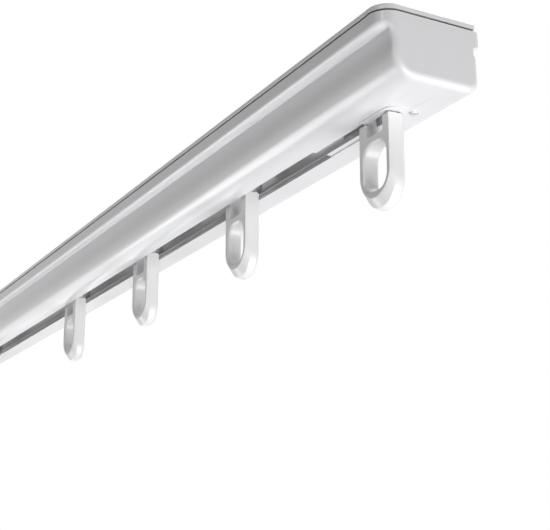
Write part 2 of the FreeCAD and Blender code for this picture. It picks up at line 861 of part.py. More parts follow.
def flange_hole(seat, x0):
    radius = flange_hole_width / 2
    depth0 = seat.rear - flange_hole_from_rear + radius
    depth1 = depth0 + flange_hole_length - flange_hole_width
    height = seat.pivot[1]
    hole = box(x0 - 1, x0 + bracket_sheet + 1, depth0, depth1, height - radius, height + radius)
    for depth in (depth0, depth1):
        place = at(depth, height, x0 - 1)
        hole = hole.fuse(Part.makeCylinder(radius, bracket_sheet + 2, place, Vector(1, 0, 0)))
    return hole


def tab_top(seat, run):
    """The height of the lever's tab, on top, at a run behind the pivot."""
    slope = math.radians(tab_slope)
    return seat.pivot[1] + lever_sheet / 2 / math.cos(slope) - run * math.tan(slope)


def latch_lever(seat):
    """The lever whose nose holds up the rail's back notch and whose tab releases it."""
    half = bracket_width / 2 - bracket_sheet - lever_side_gap
    pivot = seat.pivot
    x0 = seat.x - half
    x1 = seat.x + half
    along = Vector(1, 0, 0)
    barrel = Part.makeCylinder(pin_radius + lever_sheet, x1 - x0, at(pivot[0], pivot[1], x0), along)
    lever = fuse_all([lever_arm(seat).extrude(x0, x1), lever_tab(seat).extrude(x0, x1), barrel])
    lever = lever.cut(Part.makeCylinder(pin_radius + pin_fit, x1 - x0 + 2, at(pivot[0], pivot[1], x0 - 1), along))
    place = at(pivot[0] + screwdriver_behind_pivot, pivot[1] - tab_length, seat.x)
    return lever.cut(Part.makeCylinder(screwdriver_radius, tab_length + lever_sheet * 2, place))


def lever_arm(seat):
    """The arm down the rail's back and the nose under the roof of the notch."""
    top = seat.notch_top
    roof = seat.notch_roof
    slope = (top[1] - roof[1]) / (top[0] - roof[0])
    tip = top[0] - nose_bite
    tip_height = top[1] - slope * nose_bite - nose_gap
    knee = seat.back + arm_gap
    knee_height = top[1] + slope * arm_gap - nose_gap
    shape = Outline((tip, tip_height))
    shape.to((knee, knee_height))
    shape.to((knee, seat.pivot[1]))
    shape.to((knee + lever_sheet, seat.pivot[1]))
    shape.to((knee + lever_sheet, knee_height - lever_sheet))
    shape.to((tip + 0.5, tip_height - lever_sheet))
    shape.to((tip, tip_height - lever_sheet / 2))
    shape.close()
    return shape


def lever_tab(seat):
    """The tab that slopes down behind the pivot to a finger lip."""
    slope = math.radians(tab_slope)
    pivot = seat.pivot
    along = (math.cos(slope), -math.sin(slope))
    half = (math.sin(slope) * lever_sheet / 2, math.cos(slope) * lever_sheet / 2)
    end = (pivot[0] + along[0] * tab_length, pivot[1] + along[1] * tab_length)
    shape = Outline((pivot[0] + half[0], pivot[1] + half[1]))
    shape.to((end[0] + half[0], end[1] + half[1]))
    shape.to((end[0] + half[0], end[1] - tab_lip))
    shape.to((end[0] + half[0] - lever_sheet, end[1] - tab_lip))
    shape.to((end[0] - half[0] - lever_sheet, end[1] - half[1] + lever_sheet * math.tan(slope)))
    shape.to((pivot[0] - half[0], pivot[1] - half[1]))
    shape.close()
    return shape


def pivot_pin(seat):
    half = bracket_width / 2 + pin_overhang
    return Part.makeCylinder(pin_radius, half * 2, at(seat.pivot[0], seat.pivot[1], seat.x - half), Vector(1, 0, 0))


def latch_spring(seat):
    """The flat spring under the plate whose two arms press the lever's tab down."""
    top = plate_underside
    sheet = spring_sheet
    rear = seat.rear - 0.4
    start = seat.pivot[0] + spring_foot_start
    end = seat.pivot[0] + spring_foot_end
    start_height = tab_top(seat, spring_foot_start) + spring_rest_gap
    end_height = tab_top(seat, spring_foot_end) + spring_rest_gap
    shape = Outline((rear, top))
    shape.to((rear, top - sheet))
    shape.to((rear - spring_bridge - 0.5, top - sheet))
    shape.to((end, end_height))
    shape.to((start, start_height))
    shape.to((start, start_height + sheet))
    shape.to((end - 0.2, end_height + sheet))
    shape.to((rear - spring_bridge - 0.7, top))
    shape.close()
    arms = []
    for side in (-1, 1):
        middle = seat.x + side * spring_arm_half
        arms.append(shape.extrude(middle - spring_arm_width / 2, middle + spring_arm_width / 2))
    reach = spring_arm_half + spring_arm_width / 2
    bridge = box(seat.x - reach, seat.x + reach, rear - spring_bridge, rear, top - sheet, top)
    return fuse_all(arms + [bridge])


def main():
    save(outer_rail(), "outer_rail")
    save(inner_rail(), "inner_rail")
    save(stop_rivet(), "stop_rivet")
    save(end_cap(), "outer_end_cap")
    save(inner_end_cap(), "inner_end_cap")
    save(cap_screw(outer_screw_x, 0.0), "outer_cap_screw")
    save(cap_screw(inner_screw_x, slide_inset), "inner_cap_screw")
    for i in range(glider_count):
        x = glider_place(i)
        name = "glider_%d_" % (i + 1)
        save(glider_body(x), name + "body")
        save(glider_axle(x), name + "axle")
        save(glider_wheels(x), name + "wheels")
    inner_x = outer_start_x - inner_bracket_from_mouth
    seats = {
        "outer": BracketSeat(0.0, 0.0, -lip_reach, groove_floor_height, groove_roof_height, front_lip_overlap),
        "inner": BracketSeat(inner_x, slide_inset, inner_plate_front, inner_floor, inner_roof, -inner_lip_overlap),
    }
    for name, seat in seats.items():
        save(bracket_body(seat), name + "_bracket")
        save(latch_lever(seat), name + "_latch_lever")
        save(pivot_pin(seat), name + "_latch_pin")
        save(latch_spring(seat), name + "_latch_spring")


main()
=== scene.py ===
"""Dresses the extendable curtain rod: smooth rails, end caps, gliders, brackets and finishes."""

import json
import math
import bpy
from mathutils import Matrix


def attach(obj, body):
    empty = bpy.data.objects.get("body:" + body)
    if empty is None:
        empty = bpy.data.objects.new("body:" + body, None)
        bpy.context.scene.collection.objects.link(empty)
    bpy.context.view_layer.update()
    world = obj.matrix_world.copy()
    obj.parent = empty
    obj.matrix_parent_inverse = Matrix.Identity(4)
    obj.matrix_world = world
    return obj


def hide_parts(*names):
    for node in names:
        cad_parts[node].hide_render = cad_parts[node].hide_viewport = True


bl_info = {
    "name": "Extendable curtain rod",
    "version": (1, 0, 0),
    "blender": (4, 5, 0),
    "location": "3D View > Sidebar > Curtain rod",
    "description": "Smooth surfaces and painted, moulded and plated finishes for a curtain rod",
    "category": "Object",
}

from contextlib import contextmanager

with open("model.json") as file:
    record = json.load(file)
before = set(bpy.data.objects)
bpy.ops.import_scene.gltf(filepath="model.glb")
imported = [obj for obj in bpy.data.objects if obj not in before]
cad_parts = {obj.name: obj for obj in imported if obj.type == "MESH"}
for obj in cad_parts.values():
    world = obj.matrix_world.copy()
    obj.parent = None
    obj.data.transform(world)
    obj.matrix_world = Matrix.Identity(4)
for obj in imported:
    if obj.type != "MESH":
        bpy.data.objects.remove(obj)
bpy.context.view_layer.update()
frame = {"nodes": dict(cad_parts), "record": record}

import bmesh
import bpy
import numpy as np
from bpy.props import FloatProperty, FloatVectorProperty, IntProperty, PointerProperty
from mathutils import Matrix, Vector

MM = 0.001
GLIDERS = range(1, 10)
SIDES = ("outer", "inner")

# Roughness of the mouldings' plastic before its flow marks and dull patches
CAP_ROUGHNESS = 0.26
GLIDER_ROUGHNESS = 0.3

# Painted shade in the front groove: its colour, how much it covers, and how far past the groove in
# mm
GROOVE_SHADE = (0.16, 0.155, 0.15)
GROOVE_SHADE_COVER = 0.7
GROOVE_SHADE_MARGIN = 0.005

# The rail's section, in millimetres. Depth runs back from the front wall and height runs up
# from the underside. The two origins are the depth and the height of the frame's own zero.
DEPTH_ORIGIN = 41.1
HEIGHT_ORIGIN = 24.4
RAIL_HEIGHT = 20.9
WALL = 1.2
SLOT_MIDDLE = 14.5
SLOT_HALF = 3.65

# Front, from the underside up: the radii of the toe, the swell and the cove, the height of
# the waist where swell and cove meet, the lip with its two rounds, the groove and the plate
TOE = 4.6
SWELL = 30.0
COVE = 25.5
WAIST = 9.0
LIP_UNDERSIDE = 14.0
LIP_CORNER = 0.5
LIP_REACH = 3.8
NOSE = 1.4
GROOVE_FLOOR = 18.55
GROOVE_ROOF = 19.1
GROOVE_DEPTH = 1.0
PLATE_EDGE = 0.8

# Back, from the underside up, as (depth, height), and the radius at the heel
HEEL = 3.7
BACK = np.array([
    (28.6, 0.0),
    (28.6, 9.1),
    (26.7, 11.5),
    (26.7, 13.3),
    (29.6, 14.5),
    (29.6, 17.9),
    (27.4, 19.1),
    (27.4, 20.9),
])

# Where the toe's arc meets the underside and the swell, the fuller round that the finished
# pieces have there, and the depth at which the shift towards it has faded out
TOE_TANGENT = SWELL - math.sqrt((SWELL - TOE) ** 2 - (WAIST - TOE) ** 2)
TOE_TOP = TOE - TOE * (WAIST - TOE) / (SWELL - TOE)
TOE_ROUND = 8.0
SHIFT_END = 10.3

# Height of the gliders' shoulders in the solids, the height that the finished gliders give
# them inside the slot, and how near to the first one a point has to be
SHOULDER = -0.8
SHOULDER_IN_SLOT = 2.0
SHOULDER_MATCH = 0.02

# Rounds on the section's corners: the largest share of a side that one takes, and its steps
LARGEST_SHARE = 0.45
CORNER_STEPS = 3

# Stations of the outer rail: one close to each end, at this distance in millimetres, and even
# ones between, which begin this far from the ends
END_EDGE = 0.2
END_RUN = 20.0
MIDDLE_STATIONS = 24

# Distances in metres below which points of a mesh count as one, and the largest turn between
# faces that still counts as flat
SAME_POINT = 1e-7
SAME_CAD_POINT = 2e-7
FLAT = math.radians(0.4)

# Edges that turn by more than this many degrees stay sharp: on most pieces, on the gliders and
# the inner rail, and on the outer rail. Then the steps of a worn edge and the normals' weight.
SHARP = 30.0
SHARP_FINE = 24.0
SHARP_CARRIED = 40.0
WORN_STEPS = 2
NORMAL_WEIGHT = 60

# Lamps: heading seen from the rod, distance, width and height in metres, and power in watts
LAMP_TARGET = (0.48, -0.03, -0.02)
LAMPS = {
    "key_below": ((0.62, 0.10, -0.78), 1.1, 1.2, 0.9, 16.0),
    "strip_far_left": ((-0.93, 0.03, -0.36), 1.6, 0.9, 0.5, 1.3),
    "card_near_left": ((-0.80, -0.36, -0.47), 0.86, 0.35, 0.25, 1.05),
    "card_near_right": ((0.53, -0.72, 0.36), 0.8, 0.13, 0.26, 0.5),
    "soft_above": ((-0.25, 0.5, 0.83), 1.5, 1.4, 1.0, 16.0),
}

# Floor: cells along each side, its tone as a diffuse surface and its share of plain white
FLOOR_CELLS = 8
FLOOR_TONE = (0.86, 0.86, 0.86)
FLOOR_GLOW = 0.8
WHITE = (1.0, 1.0, 1.0)


# Sizes and colours a user would change

class RodSizes(bpy.types.PropertyGroup):
    rail_start: FloatProperty(
        name="Mouth of the outer rail", description="X of the outer rail's open end",
        default=-0.22, unit="LENGTH")
    rail_end: FloatProperty(
        name="Cap seam", description="X of the seam between outer rail and end cap",
        default=0.563, unit="LENGTH")
    corner_blend: FloatProperty(
        name="Corner radius", description="Softness of sharp edges on the painted rail",
        default=0.00018, unit="LENGTH", precision=5)
    arc_steps: IntProperty(
        name="Arc steps", description="Faces along each small arc of the section",
        default=7, min=3)
    edge_bevel: FloatProperty(
        name="Edge softness", description="Width of the worn edge on the brackets",
        default=0.00016, unit="LENGTH", precision=5)
    eye_bevel: FloatProperty(
        name="Glider edges", description="Roundness of the glider's rims and corners",
        default=0.00045, unit="LENGTH", precision=5)


class RodColours(bpy.types.PropertyGroup):
    paint: FloatVectorProperty(
        name="Rail paint", description="White powder coat of the outer rail and the brackets",
        default=(0.80, 0.80, 0.815), subtype="COLOR", size=3, min=0, max=1)
    # Whiter than the rail paint as painted light, lifting the shade inside the slot where this rail
    # shows
    inner_paint_lightened: FloatVectorProperty(
        name="Inner rail paint", description="Brighter white of the sliding rail",
        default=(0.88, 0.88, 0.885), subtype="COLOR", size=3, min=0, max=1)
    moulding: FloatVectorProperty(
        name="Cap plastic", description="White plastic of the end caps",
        default=(0.80, 0.80, 0.815), subtype="COLOR", size=3, min=0, max=1)
    glider: FloatVectorProperty(
        name="Glider plastic", description="White plastic of the gliders",
        default=(0.88, 0.88, 0.885), subtype="COLOR", size=3, min=0, max=1)
    nylon: FloatVectorProperty(
        name="Wheel nylon", description="Plain nylon of the small wheels",
        default=(0.66, 0.655, 0.63), subtype="COLOR", size=3, min=0, max=1)
    plated: FloatVectorProperty(
        name="Plated steel", description="Zinc plate on pins and screws",
        default=(0.78, 0.785, 0.80), subtype="COLOR", size=3, min=0, max=1)
    spring: FloatVectorProperty(
        name="Spring steel", description="Bare strip of the latch springs",
        default=(0.36, 0.36, 0.38), subtype="COLOR", size=3, min=0, max=1)


class RodStage(bpy.types.PropertyGroup):
    lens: FloatProperty(
        name="Focal length", description="Lens for a 36 mm wide sensor",
        default=76.58, subtype="DISTANCE_CAMERA")
    eye: FloatVectorProperty(
        name="Camera place", description="Where the camera stands",
        default=(0.8039, -0.2044, -0.1546), subtype="TRANSLATION", size=3, unit="LENGTH",
        precision=4)
    heading: FloatVectorProperty(
        name="Camera heading", description="The way the camera looks",
        default=(-0.8465, 0.4617, 0.2646), subtype="DIRECTION", size=3, precision=4)
    floor_drop: FloatProperty(
        name="Floor drop", description="Distance from the ceiling plane to the floor",
        default=2.4, unit="LENGTH")
    floor_reach: FloatProperty(
        name="Floor reach", description="Distance from the rod to the floor's edges",
        default=12.0, unit="LENGTH")
    ambient: FloatProperty(
        name="Ambient light", description="Strength of the surroundings as a light on the rod",
        default=0.08, subtype="FACTOR", min=0, max=1)


# Shader arithmetic

class Wire:
    """A shader socket that takes part in Python expressions, one Math node for each operation."""

    def __init__(self, graph, socket):
        self.graph = graph
        self.socket = socket

    def operate(self, operation, *others):
        """A Math node on this wire and the values that follow it."""
        inputs = dict(enumerate((self, *others)))
        return self.graph.node("ShaderNodeMath", {"operation": operation}, inputs)

    def __add__(self, other):
        return self.operate("ADD", other)

    __radd__ = __add__

    def __mul__(self, other):
        return self.operate("MULTIPLY", other)

    __rmul__ = __mul__

    def sibling(self, output):
        """Another output of the same node."""
        return Wire(self.graph, self.socket.node.outputs[output])


class Graph:
    """The nodes of one material or world, each made by the same method."""

    def __init__(self, owner):
        owner.use_nodes = True
        self.owner = owner
        self.tree = owner.node_tree
        self.tree.nodes.clear()

    def node(self, kind, settings=None, inputs=None, output=0):
        """Make a node, apply its settings, then fill its sockets with numbers, colours or wires."""
        made = self.tree.nodes.new(kind)
        for key, value in (settings or {}).items():
            if key == "stops":
                self._stops(made.color_ramp, value)
            else:
                setattr(made, key, value)
        for key, value in (inputs or {}).items():
            if isinstance(value, Wire):
                self.tree.links.new(value.socket, made.inputs[key])
            else:
                made.inputs[key].default_value = value
        return Wire(self, made.outputs[output]) if made.outputs else None

    def _stops(self, ramp, stops):
        """Give a colour ramp its grey stops, as (place, shade)."""
        while len(ramp.elements) < len(stops):
            ramp.elements.new(0.5)
        for element, (place, shade) in zip(ramp.elements, stops):
            element.position = place
            element.color = (shade, shade, shade, 1.0)

    def place(self, stretch=(1.0, 1.0, 1.0)):
        """Object coordinates in metres, stretched along each axis."""
        coordinates = self.node("ShaderNodeTexCoord", output="Object")
        return self.node("ShaderNodeMapping", {}, {"Vector": coordinates, "Scale": stretch})

    def noise(self, vector, scale, detail=2.0, roughness=0.5):
        """Cloudy noise, from 0 to 1."""
        return self.node("ShaderNodeTexNoise", {}, {
            "Vector": vector, "Scale": scale, "Detail": detail, "Roughness": roughness})

    def ramp(self, value, stops):
        """A value read off a grey ramp."""
        return self.node("ShaderNodeValToRGB", {"stops": stops}, {"Fac": value})

    def mix(self, factor, first, second):
        """Mix two colours by a factor, through the numbered colour sockets of a Mix node."""
        inputs = {0: factor, 6: first, 7: second}
        return self.node("ShaderNodeMix", {"data_type": "RGBA"}, inputs, output=2)

    def bump(self, height, distance, strength):
        """Normals tilted by a height, where a height of 1 stands out by the distance in metres."""
        return self.node("ShaderNodeBump", {}, {
            "Height": height, "Distance": distance, "Strength": strength})

    def seen(self):
        """1 for rays from the camera, off mirrors or through openings, 0 for light on the rod."""
        camera = self.node("ShaderNodeLightPath", output="Is Camera Ray")
        mirrored = camera.operate("MAXIMUM", camera.sibling("Is Glossy Ray"))
        return mirrored.operate("MAXIMUM", camera.sibling("Is Transmission Ray"))

    def finish(self, kind, shader):
        """Send a shader to an output node and give back the material or world."""
        self.node(kind, {}, {"Surface": shader})
        return self.owner

    def principled(self, inputs):
        """A material made of one principled shader."""
        shader = self.node("ShaderNodeBsdfPrincipled", {}, inputs)
        return self.finish("ShaderNodeOutputMaterial", shader)


def rgba(colour, factor=1.0):
    """A colour times a factor, with its alpha."""
    return tuple(min(1.0, channel * factor) for channel in colour) + (1.0,)


# Finishes

def painted_groove_shade(g, tone):
    """Darken a tone between the floor and the roof of the front groove: painted shade in the
    recess.
    """
    middle = ((GROOVE_FLOOR + GROOVE_ROOF) / 2 - HEIGHT_ORIGIN) * MM
    reach = ((GROOVE_ROOF - GROOVE_FLOOR) / 2 + GROOVE_SHADE_MARGIN) * MM
    height = g.node("ShaderNodeSeparateXYZ", {}, {"Vector": g.place()}, output="Z")
    return g.mix(height.operate("COMPARE", middle, reach) * GROOVE_SHADE_COVER, tone, rgba(GROOVE_SHADE))


def powder_coat(material, colour, grooved=False):
    """White powder coat: fine orange peel, a drift in gloss and faint lines from roll forming."""
    g = Graph(material)
    peel = g.noise(g.place(), scale=2600.0, detail=3.0, roughness=0.55)
    drift = g.noise(g.place((6.0, 60.0, 60.0)), scale=2.2, detail=3.0)
    lines = g.noise(g.place((1.5, 900.0, 900.0)), scale=1.0)
    spots = g.noise(g.place(), scale=900.0)
    fleck = g.ramp(spots, [(0.0, 0.0), (0.66, 0.0), (0.78, 1.0)])
    tone = g.mix(drift, rgba(colour, 0.985), rgba(colour, 1.012))
    tone = g.mix(fleck * 0.16, tone, rgba(colour, 0.90))
    # Painted shade along the front groove
    if grooved:
        tone = painted_groove_shade(g, tone)
    rough = 0.24 + drift * 0.08 + lines * 0.05
    height = peel * 0.6 + lines * 0.4
    return g.principled({"Base Color": tone, "Roughness": rough,
                         "Normal": g.bump(height, distance=0.02 * MM, strength=0.35),
                         "Coat Weight": 0.5, "Coat Roughness": 0.14})


def moulded_plastic(material, colour, roughness, grooved=False):
    """White moulded plastic: a soft spark-eroded grain, flow marks and slightly dull patches."""
    g = Graph(material)
    grain = g.noise(g.place(), scale=5200.0, detail=2.0, roughness=0.6)
    flow = g.noise(g.place((30.0, 90.0, 40.0)), scale=3.0, detail=4.0)
    patches = g.noise(g.place(), scale=160.0, detail=3.0)
    dull = g.ramp(patches, [(0.0, 0.0), (0.45, 0.0), (0.75, 1.0)])
    tone = g.mix(flow, rgba(colour, 0.975), rgba(colour, 1.015))
    # Painted shade along the front groove
    if grooved:
        tone = painted_groove_shade(g, tone)
    rough = roughness + flow * 0.07 + dull * 0.06
    height = grain * 0.7 + flow * 0.3
    return g.principled({"Base Color": tone, "Roughness": rough,
                         "Normal": g.bump(height, distance=0.012 * MM, strength=0.4),
                         "Coat Weight": 0.4, "Coat Roughness": 0.16,
                         "Subsurface Weight": 0.06, "Subsurface Radius": (0.0012, 0.001, 0.0009)})


def wheel_nylon(material, colour):
    """Plain nylon: turned rings on the tread and a little grime from running."""
    g = Graph(material)
    rings = g.noise(g.place((300.0, 5200.0, 300.0)), scale=1.0)
    patches = g.noise(g.place(), scale=700.0, detail=4.0)
    grime = g.ramp(patches, [(0.0, 0.0), (0.5, 0.1), (0.8, 1.0)])
    tone = g.mix(grime * 0.35, rgba(colour), rgba(colour, 0.72))
    return g.principled({"Base Color": tone, "Roughness": 0.42 + rings * 0.12,
                         "Normal": g.bump(rings, distance=0.02 * MM, strength=0.4)})


def plated_steel(material, colour):
    """Bright zinc plate: small crystalline patches and a few dull spots."""
    g = Graph(material)
    crystals = g.node("ShaderNodeTexVoronoi", {}, {"Vector": g.place(), "Scale": 2400.0})
    patches = g.noise(g.place(), scale=800.0, detail=4.0)
    dull = g.ramp(patches, [(0.0, 0.0), (0.5, 0.15), (0.8, 1.0)])
    tone = g.mix(dull * 0.5, rgba(colour), rgba(colour, 0.7))
    return g.principled({"Base Color": tone, "Metallic": 1.0, "Roughness": 0.26 + dull * 0.16,
                         "Normal": g.bump(crystals, distance=0.01 * MM, strength=0.35)})


def spring_strip(material, colour):
    """Bare spring steel: rolling lines along the strip and a blued tone where it was heated."""
    g = Graph(material)
    rolled = g.noise(g.place((260.0, 5000.0, 5000.0)), scale=1.0, detail=3.0)
    heat = g.noise(g.place(), scale=120.0)
    blue = (colour[0] * 0.75, colour[1] * 0.82, colour[2] * 1.05, 1.0)
    tone = g.mix(heat, rgba(colour), blue)
    return g.principled({"Base Color": tone, "Metallic": 1.0, "Roughness": 0.28 + rolled * 0.16,
                         "Normal": g.bump(rolled, distance=0.01 * MM, strength=0.4)})


def stage_white(material):
    """A pale floor that shows nearly white to the camera, to mirrors and through openings."""
    g = Graph(material)
    pale = g.node("ShaderNodeBsdfDiffuse", {}, {"Color": rgba(FLOOR_TONE)})
    white = g.node("ShaderNodeEmission", {}, {"Color": rgba(WHITE)})
    shader = g.node("ShaderNodeMixShader", {}, {0: g.seen() * FLOOR_GLOW, 1: pale, 2: white})
    return g.finish("ShaderNodeOutputMaterial", shader)


def studio_white(world, ambient):
    """White to the camera, to mirrors and through openings, and a weak even light on the rod."""
    g = Graph(world)
    strength = ambient + g.seen() * (1.0 - ambient)
    sky = g.node("ShaderNodeBackground", {}, {"Color": rgba(WHITE), "Strength": strength})
    return g.finish("ShaderNodeOutputWorld", sky)


def finish_of(name, maker, *values, **options):
    """A material of one name, made once and shared."""
    found = bpy.data.materials.get(name)
    return found or maker(bpy.data.materials.new(name), *values, **options)


# Profiles: rows of (depth, height) in millimetres

def arc_points(centre, radius, start, end, steps):
    """Points on a circle, from one angle to another in degrees, as (depth, height)."""
    turn = np.radians(np.linspace(start, end, steps + 1))
    return np.stack([centre[0] + radius * np.cos(turn), centre[1] + radius * np.sin(turn)], axis=1)


def lengths(vectors):
    """The length of each row, as a column."""
    return np.hypot(vectors[:, 0], vectors[:, 1])[:, None]


def soften(points, radii, steps):
    """Replace each corner of a closed loop that has a radius by an arc of points.

    With a and b the unit vectors to the corner's two neighbours, and half the angle between
    them, the arc starts and ends on the sides at the radius over the tangent of that half,
    and its centre is on the bisector at the radius over its sine. An arc that would take
    more than LARGEST_SHARE of the shorter side gets a smaller radius.
    """
    corner = np.flatnonzero(radii > 0)
    here = points[corner]
    before = points[corner - 1] - here
    after = points[(corner + 1) % len(points)] - here
    a = before / lengths(before)
    b = after / lengths(after)
    half = np.arccos(np.clip((a * b).sum(axis=1, keepdims=True), -1, 1)) / 2
    largest = LARGEST_SHARE * np.minimum(lengths(before), lengths(after))
    reach = np.minimum(radii[corner, None] / np.tan(half), largest)
    radius = reach * np.tan(half)
    centre = here + (a + b) / lengths(a + b) * radius / np.sin(half)
    start = here + a * reach - centre
    end = here + b * reach - centre
    first = np.arctan2(start[:, 1:], start[:, :1])
    last = np.arctan2(end[:, 1:], end[:, :1])
    turn = (last - first + math.pi) % (2 * math.pi) - math.pi
    angles = first + turn * np.linspace(0, 1, steps + 1)
    circle = np.stack([np.cos(angles), np.sin(angles)], axis=-1)
    arcs = centre[:, None, :] + radius[:, :, None] * circle
    counts = np.where(radii > 0, steps + 1, 1)
    loop = np.repeat(points, counts, axis=0)
    loop[np.repeat(radii > 0, counts)] = arcs.reshape(-1, 2)
    return loop


def front_curve(inset, steps):
    """The front wall from the toe up to the lip's underside, moved in by inset.

    Four arcs follow each other without a kink: toe, swell, cove and the lip's lower corner.
    Each keeps its centre. The round ones lose the inset from their radius and the hollow
    ones gain it, so the wall keeps its thickness.
    """
    join = math.degrees(math.atan2(WAIST - TOE, SWELL - TOE_TANGENT))
    top = LIP_UNDERSIDE - LIP_CORNER
    lift = top - WAIST
    corner = (math.sqrt((COVE - LIP_CORNER) ** 2 - lift ** 2) - COVE, top)
    rise = math.degrees(math.atan2(lift, corner[0] + COVE))
    toe = arc_points((TOE_TANGENT, TOE), TOE - inset, 270.0, 180.0 + join, steps * 2)
    swell = arc_points((SWELL, WAIST), SWELL - inset, 180.0 + join, 180.0, steps)
    cove = arc_points((-COVE, WAIST), COVE + inset, 0.0, rise, steps)
    under = arc_points(corner, LIP_CORNER + inset, 360.0 + rise, 450.0, max(3, steps // 2))
    return np.concatenate([toe, swell[1:], cove[1:], under[1:]])


def fuller_toe(depth, height):
    """Depths and heights, with the front moved back to turn under in one round of TOE_ROUND.

    The shift at a height is the new round's depth there, R minus the root of R squared
    less (R minus height) squared, less the plain section's depth at that height. It is
    whole up to the toe's tangent point and fades out in a straight line before the slot,
    and walls, plugs and the sliding rail take the same shift, so none meets another.
    """
    low = np.clip(height, 0.0, WAIST)
    toe = TOE_TANGENT - np.sqrt(np.maximum(TOE ** 2 - (TOE - low) ** 2, 0.0))
    swell = SWELL - np.sqrt(SWELL ** 2 - (WAIST - low) ** 2)
    plain = np.where(low < TOE_TOP, toe, swell)
    below = np.clip(TOE_ROUND - low, 0.0, TOE_ROUND)
    rounded = TOE_ROUND - np.sqrt(TOE_ROUND ** 2 - below ** 2)
    fade = np.clip((SHIFT_END - depth) / (SHIFT_END - TOE_TANGENT), 0.0, 1.0)
    return depth + (rounded - plain) * fade, height


def raised_shoulders(depth, height):
    """Depths and heights, with every point at SHOULDER moved straight up to SHOULDER_IN_SLOT."""
    return depth, np.where(np.abs(height - SHOULDER) < SHOULDER_MATCH, SHOULDER_IN_SLOT, height)


def back_points(inset):
    """The corners of the back from the heel up to the top, with each side moved in by inset.

    A corner moves along the sum of its two sides' inward normals, by inset over one plus
    the product of the two normals, which leaves it at that distance from both sides.
    """
    corners = np.concatenate([[(0.0, 0.0)], BACK, [(0.0, RAIL_HEIGHT)]])
    sides = corners[1:] - corners[:-1]
    inward = np.stack([-sides[:, 1], sides[:, 0]], axis=1) / lengths(sides)
    scale = inset / (1 + (inward[1:] * inward[:-1]).sum(axis=1))
    return BACK + scale[:, None] * (inward[1:] + inward[:-1])


def outer_rail_profile(softness, steps):
    """The rail's closed section as rows of (depth, height).

    It goes round the outside from the slot's front edge and back round the cavity, one
    wall further in. The slot's and the groove's corners get rounds of radius softness, and
    the corners at the back get rounds half as large again.
    """
    low, high = SLOT_MIDDLE - SLOT_HALF, SLOT_MIDDLE + SLOT_HALF
    nose = (NOSE - LIP_REACH, LIP_UNDERSIDE + NOSE)
    plate_edge = (PLATE_EDGE - LIP_REACH, RAIL_HEIGHT - PLATE_EDGE)
    heel = (BACK[0, 0] - HEEL, HEEL)
    lip = -LIP_REACH
    groove = GROOVE_DEPTH - LIP_REACH
    groove_corners = [
        (lip, GROOVE_FLOOR),
        (groove, GROOVE_FLOOR),
        (groove, GROOVE_ROOF),
        (lip, GROOVE_ROOF),
    ]
    cavity_corners = [
        (groove + WALL, RAIL_HEIGHT - WALL),
        (groove + WALL, GROOVE_FLOOR - WALL),
        (lip + WALL, GROOVE_FLOOR - WALL),
        (lip + WALL, LIP_UNDERSIDE + WALL),
    ]
    runs = [
        ([(low, 0.0)], 0.0),
        (front_curve(0.0, steps), 0.0),
        (arc_points(nose, NOSE, 270.0, 180.0, steps), 0.0),
        (groove_corners, softness),
        (arc_points(plate_edge, PLATE_EDGE, 180.0, 90.0, steps), 0.0),
        (BACK[:0:-1], softness * 1.5),
        (arc_points(heel, HEEL, 0.0, -90.0, steps * 2), 0.0),
        ([(high, 0.0)], 0.0),
        ([(high, WALL)], softness),
        (arc_points(heel, HEEL - WALL, -90.0, 0.0, steps), 0.0),
        (back_points(WALL)[1:], 0.0),
        (cavity_corners, 0.0),
        (front_curve(WALL, steps)[::-1], 0.0),
        ([(low, WALL)], softness),
    ]
    points = np.concatenate([run for run, _ in runs])
    radii = np.concatenate([np.full(len(run), radius) for run, radius in runs])
    loop = soften(points, radii, CORNER_STEPS)
    return np.stack(fuller_toe(loop[:, 0], loop[:, 1]), axis=-1)


# Meshes

def place_mm(x, depth, height):
    """Points from millimetres along, back and up in the section, as rows in the frame's metres."""
    x, depth, height = np.broadcast_arrays(x, depth, height)
    points = np.stack([x, depth - DEPTH_ORIGIN, height - HEIGHT_ORIGIN], axis=-1)
    return points.reshape(-1, 3) * MM


def grid_quads(rows, columns, closed=False):
    """Quads between the points of a grid, with the last column joined to the first when closed.

    The quad at row i and column j takes that point, the next one in its row, and the two
    beside them in the row after it. Point (i, j) has the number i times columns plus j.
    """
    row = np.arange(rows - 1)[:, None] * columns
    column = np.arange(columns if closed else columns - 1)[None, :]
    here = row + column
    beside = row + (column + 1) % columns
    quads = np.stack([here, beside, beside + columns, here + columns], axis=-1)
    return quads.reshape(-1, 4).tolist()


def carry(profile, stations):
    """A closed profile carried straight along X, in millimetres, as vertices and faces.

    Row i of the points is at the station i, and column j has the depth and height of the
    profile's point j. Quads join the rows, and one face closes each end.
    """
    count = len(profile)
    vertices = place_mm(stations[:, None], profile[:, 0], profile[:, 1])
    numbers = list(range(len(vertices)))
    ends = [numbers[:count], numbers[-count:]]
    return vertices, grid_quads(len(stations), count, closed=True) + ends


@contextmanager
def editing(mesh):
    """A bmesh made from a mesh and written back to it at the end of the block."""
    work = bmesh.new()
    work.from_mesh(mesh)
    yield work
    work.to_mesh(mesh)
    work.free()


def new_object(name, data):
    """A new object in the scene, at the origin."""
    made = bpy.data.objects.new(name, data)
    bpy.context.scene.collection.objects.link(made)
    return made


def mesh_object(name, vertices, faces):
    """A new object from an array of vertices and a list of faces, which are turned outwards."""
    mesh = bpy.data.meshes.new(name)
    mesh.from_pydata(vertices.tolist(), [], faces)
    with editing(mesh) as work:
        bmesh.ops.remove_doubles(work, verts=work.verts, dist=SAME_POINT)
        bmesh.ops.recalc_face_normals(work, faces=work.faces)
    return new_object(name, mesh)


